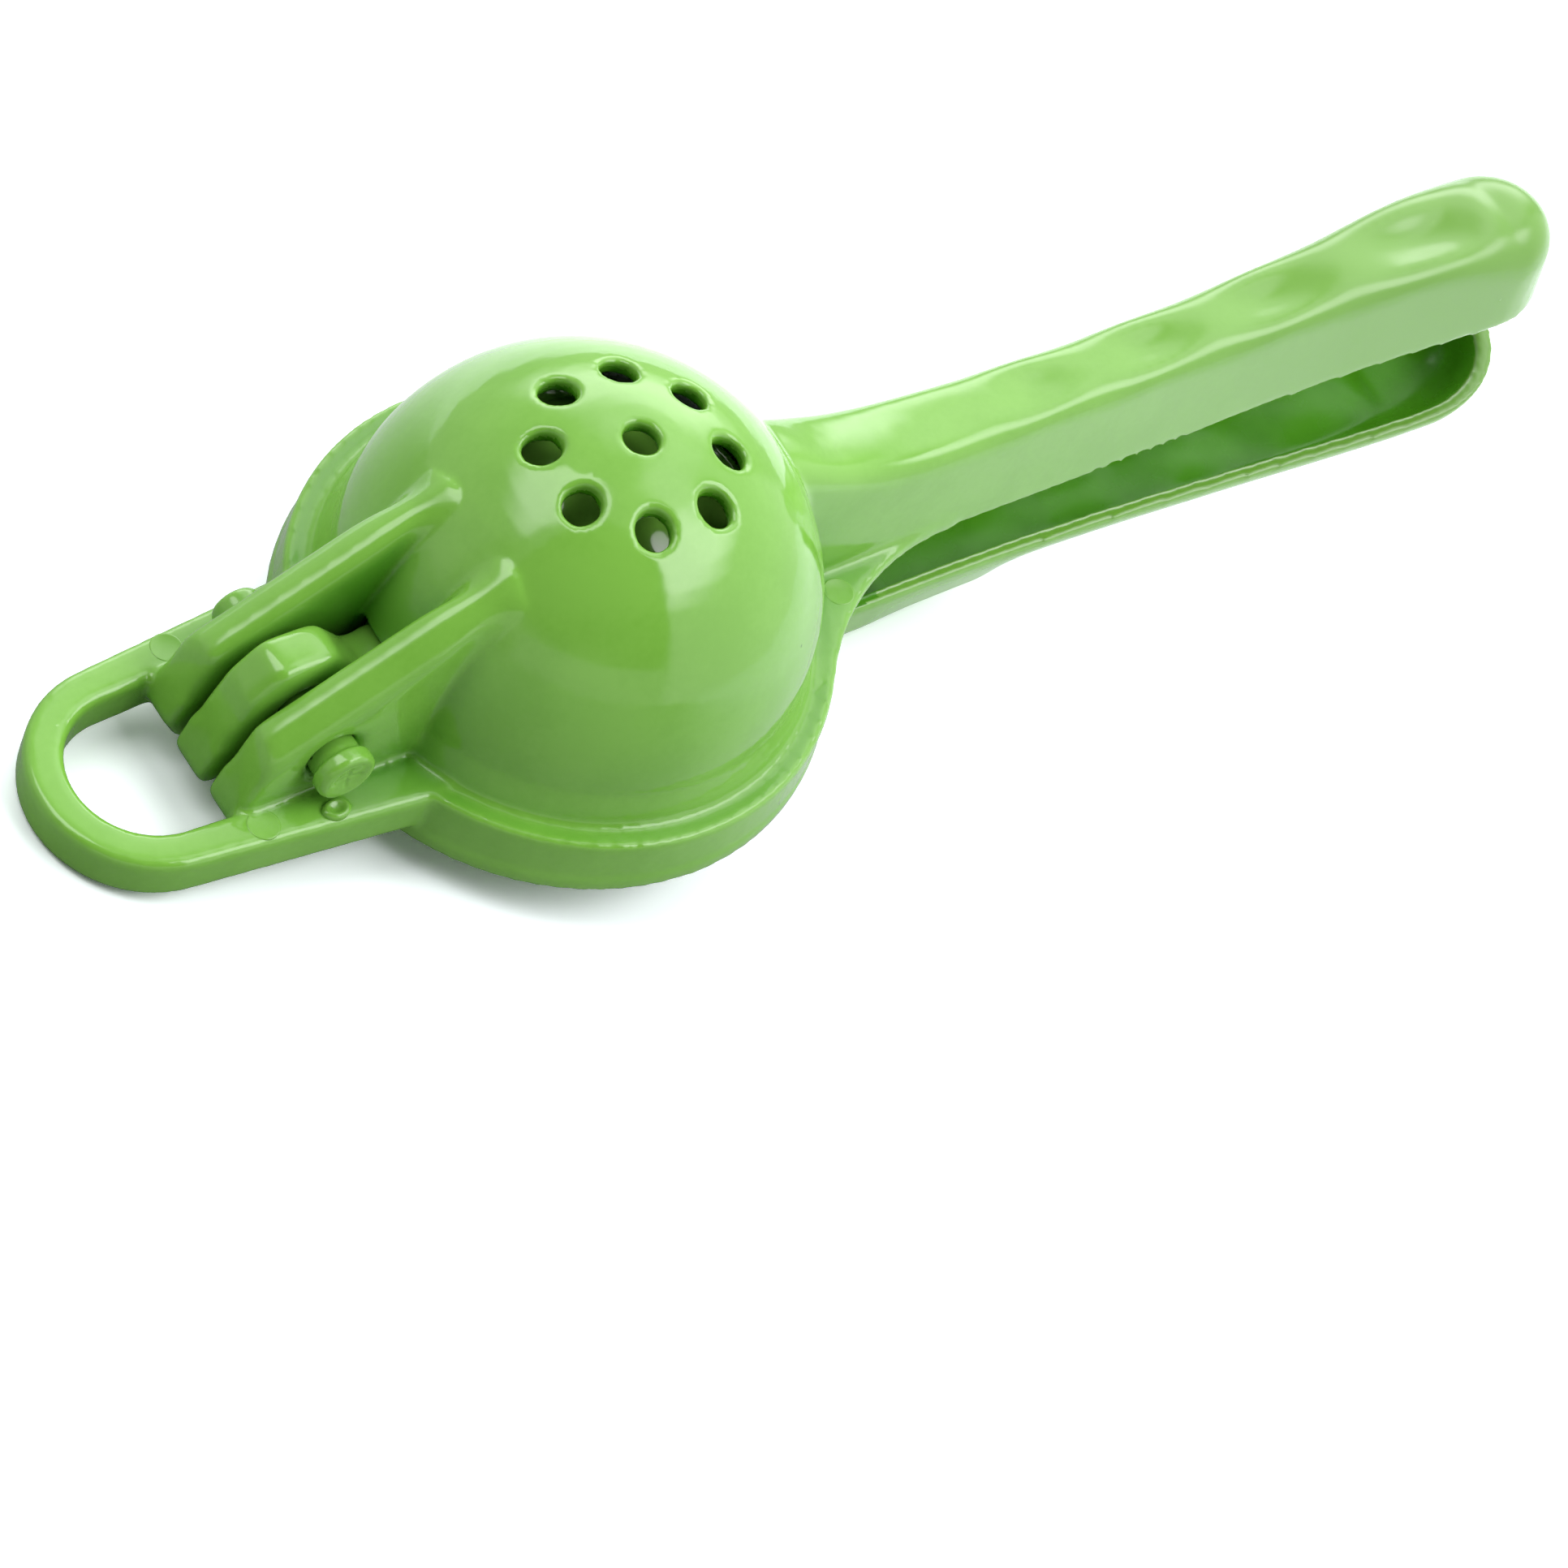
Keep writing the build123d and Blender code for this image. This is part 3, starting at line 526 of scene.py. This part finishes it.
def mould_mark(name, carrier, place, profile, stretch=1.0):
    """Low mark on a lever's upper side: rings of radius and height, from the foot to the middle."""
    settle = settle_matrix()
    start = settle @ Vector((*place, MARK_START))
    down = (settle.to_3x3() @ Vector((0, 0, -1))).normalized()
    hit, spot, normal, _ = carrier.ray_cast(start, down)
    if not hit:
        raise ValueError(f"{name} lies beside its lever")
    along = (Vector((1, 0, 0)) - normal * normal.x).normalized()
    turn = Matrix((along, normal.cross(along), normal)).transposed().to_4x4()
    seat = Matrix.Translation(spot) @ turn @ Matrix.Scale(1 / MM_PER_M, 4)
    shape = bmesh.new()
    rings = []
    for radius, height in profile:
        ring = []
        for step in range(MARK_SIDES):
            angle = 2 * math.pi * step / MARK_SIDES
            point = (radius * stretch * math.cos(angle), radius * math.sin(angle), height)
            ring.append(shape.verts.new(point))
        rings.append(ring)
    for lower, upper in zip(rings, rings[1:]):
        for side in range(MARK_SIDES):
            after = (side + 1) % MARK_SIDES
            shape.faces.new((lower[side], lower[after], upper[after], upper[side]))
    shape.faces.new(rings[-1])
    shape.faces.new(reversed(rings[0]))
    bmesh.ops.transform(shape, matrix=seat, verts=shape.verts)
    mesh = bpy.data.meshes.new(name)
    shape.to_mesh(mesh)
    shape.free()
    mesh.materials.append(carrier.data.materials[0])
    for polygon in mesh.polygons:
        polygon.use_smooth = True
    piece = bpy.data.objects.new(name, mesh)
    bpy.context.scene.collection.objects.link(piece)
    return piece


def mark_lever(lever):
    """Gate stub and ejector marks that the mould leaves on the upper lever."""
    bpy.context.view_layer.update()
    pieces = [mould_mark("gate_stub", lever, GATE_PLACE, GATE_PROFILE, GATE_STRETCH)]
    for number, place in enumerate(EJECTOR_PLACES):
        pieces.append(mould_mark(f"ejector_mark_{number + 1}", lever, place, EJECTOR_PROFILE))
    for piece in pieces:
        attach(piece, "upper_lever")


def dress_nodes():
    """Stand-ins for the three nodes, and the marks on the upper lever."""
    upper = moulded("bowl_lever", "upper_lever", GRID)
    moulded("press_lever", "lower_lever", GRID)
    mark_lever(upper)
    moulded("hinge_pin", "upper_lever", PIN_GRID)


def make_floor():
    """White table; to the camera and in reflections it is overexposed, so that only deep shadows show."""
    mesh = bpy.data.meshes.new("floor")
    corners = [(x * FLOOR_SIZE, y * FLOOR_SIZE, 0) for x, y in ((-1, -1), (1, -1), (1, 1), (-1, 1))]
    mesh.from_pydata(corners, [], [(0, 1, 2, 3)])
    floor = bpy.data.objects.new("floor", mesh)
    bpy.context.scene.collection.objects.link(floor)
    material = bpy.data.materials.new("floor_white")
    material.use_nodes = True
    graph = Graph(material.node_tree)
    material.node_tree.nodes.clear()
    path = graph.node("ShaderNodeLightPath")
    seen = graph.math("MAXIMUM", path.outputs["Is Camera Ray"], path.outputs["Is Glossy Ray"])
    split = graph.node("ShaderNodeSeparateXYZ")
    graph.feed(split.inputs[0], graph.node("ShaderNodeTexCoord").outputs["Object"])
    # Painted shade: darker colour towards the dim azimuth; painted light: glossy rays see the floor up to
    # FLOOR_GLOSS times white
    turn = math.radians(FLOOR_DIM_AZIMUTH)
    along = graph.math("MULTIPLY", split.outputs[0], -math.cos(turn))
    lean = graph.math("ADD", along, graph.math("MULTIPLY", split.outputs[1], -math.sin(turn)))
    bright = graph.ramp(lean, *FLOOR_FADE, FLOOR_DIM, FLOOR_WHITE)
    gloss = graph.ramp(lean, *FLOOR_FADE, FLOOR_GLOSS_DIM, FLOOR_GLOSS)
    extra = graph.math("MULTIPLY", graph.math("SUBTRACT", gloss, 1.0), seen)
    bright = graph.math("MULTIPLY", bright, graph.math("ADD", extra, 1.0))
    white = graph.math("SUBTRACT", FLOOR_SEEN, bright)
    level = graph.math("ADD", bright, graph.math("MULTIPLY", white, path.outputs["Is Camera Ray"]))
    diffuse = graph.node("ShaderNodeBsdfDiffuse")
    tint = graph.node("ShaderNodeVectorMath", operation="MULTIPLY")
    graph.feed(tint.inputs[0], level)
    tint.inputs[1].default_value = FLOOR_TINT
    graph.feed(diffuse.inputs["Color"], tint.outputs[0])
    out = graph.node("ShaderNodeOutputMaterial")
    graph.feed(out.inputs["Surface"], diffuse.outputs[0])
    mesh.materials.append(material)


def direction_mask(graph, vector, azimuth, half_width, side_soft, low, high, soft):
    """1 inside a patch of sky; angles in degrees, azimuth from +X towards +Y."""
    cosine = math.cos(math.radians(azimuth))
    sine = math.sin(math.radians(azimuth))
    x, y, z = vector
    along = graph.math("ADD", graph.math("MULTIPLY", x, cosine), graph.math("MULTIPLY", y, sine))
    across = graph.math("SUBTRACT", graph.math("MULTIPLY", y, cosine), graph.math("MULTIPLY", x, sine))
    angle = graph.math("ABSOLUTE", graph.math("ARCTAN2", across, along))
    side = graph.ramp(angle, math.radians(half_width + side_soft), math.radians(half_width - side_soft))
    height = graph.math("ARCSINE", z)
    above = graph.ramp(height, math.radians(low - soft), math.radians(low + soft))
    below = graph.ramp(height, math.radians(high + soft), math.radians(high - soft))
    return graph.math("MULTIPLY", side, graph.math("MULTIPLY", above, below))


def make_world():
    """Room with a dark side, soft boxes and a window; plain white to the camera."""
    world = bpy.data.worlds.new("world")
    bpy.context.scene.world = world
    world.use_nodes = True
    graph = Graph(world.node_tree)
    background = world.node_tree.nodes["Background"]
    place = graph.node("ShaderNodeTexCoord")
    background.inputs["Color"].default_value = (1, 1, 1, 1)
    split = graph.node("ShaderNodeSeparateXYZ")
    graph.feed(split.inputs[0], place.outputs["Generated"])
    strength = ROOM
    for *limits, level in PATCHES.values():
        mask = direction_mask(graph, split.outputs, *limits)
        gap = graph.math("SUBTRACT", level, strength)
        strength = graph.math("ADD", strength, graph.math("MULTIPLY", gap, mask))
    path = graph.node("ShaderNodeLightPath")
    gap = graph.math("SUBTRACT", 1.0, strength)
    strength = graph.math("ADD", strength, graph.math("MULTIPLY", gap, path.outputs["Is Camera Ray"]))
    graph.feed(background.inputs["Strength"], strength)


make_camera()
dress_nodes()
make_floor()
make_world()
bpy.context.scene.view_settings.view_transform = "Standard"
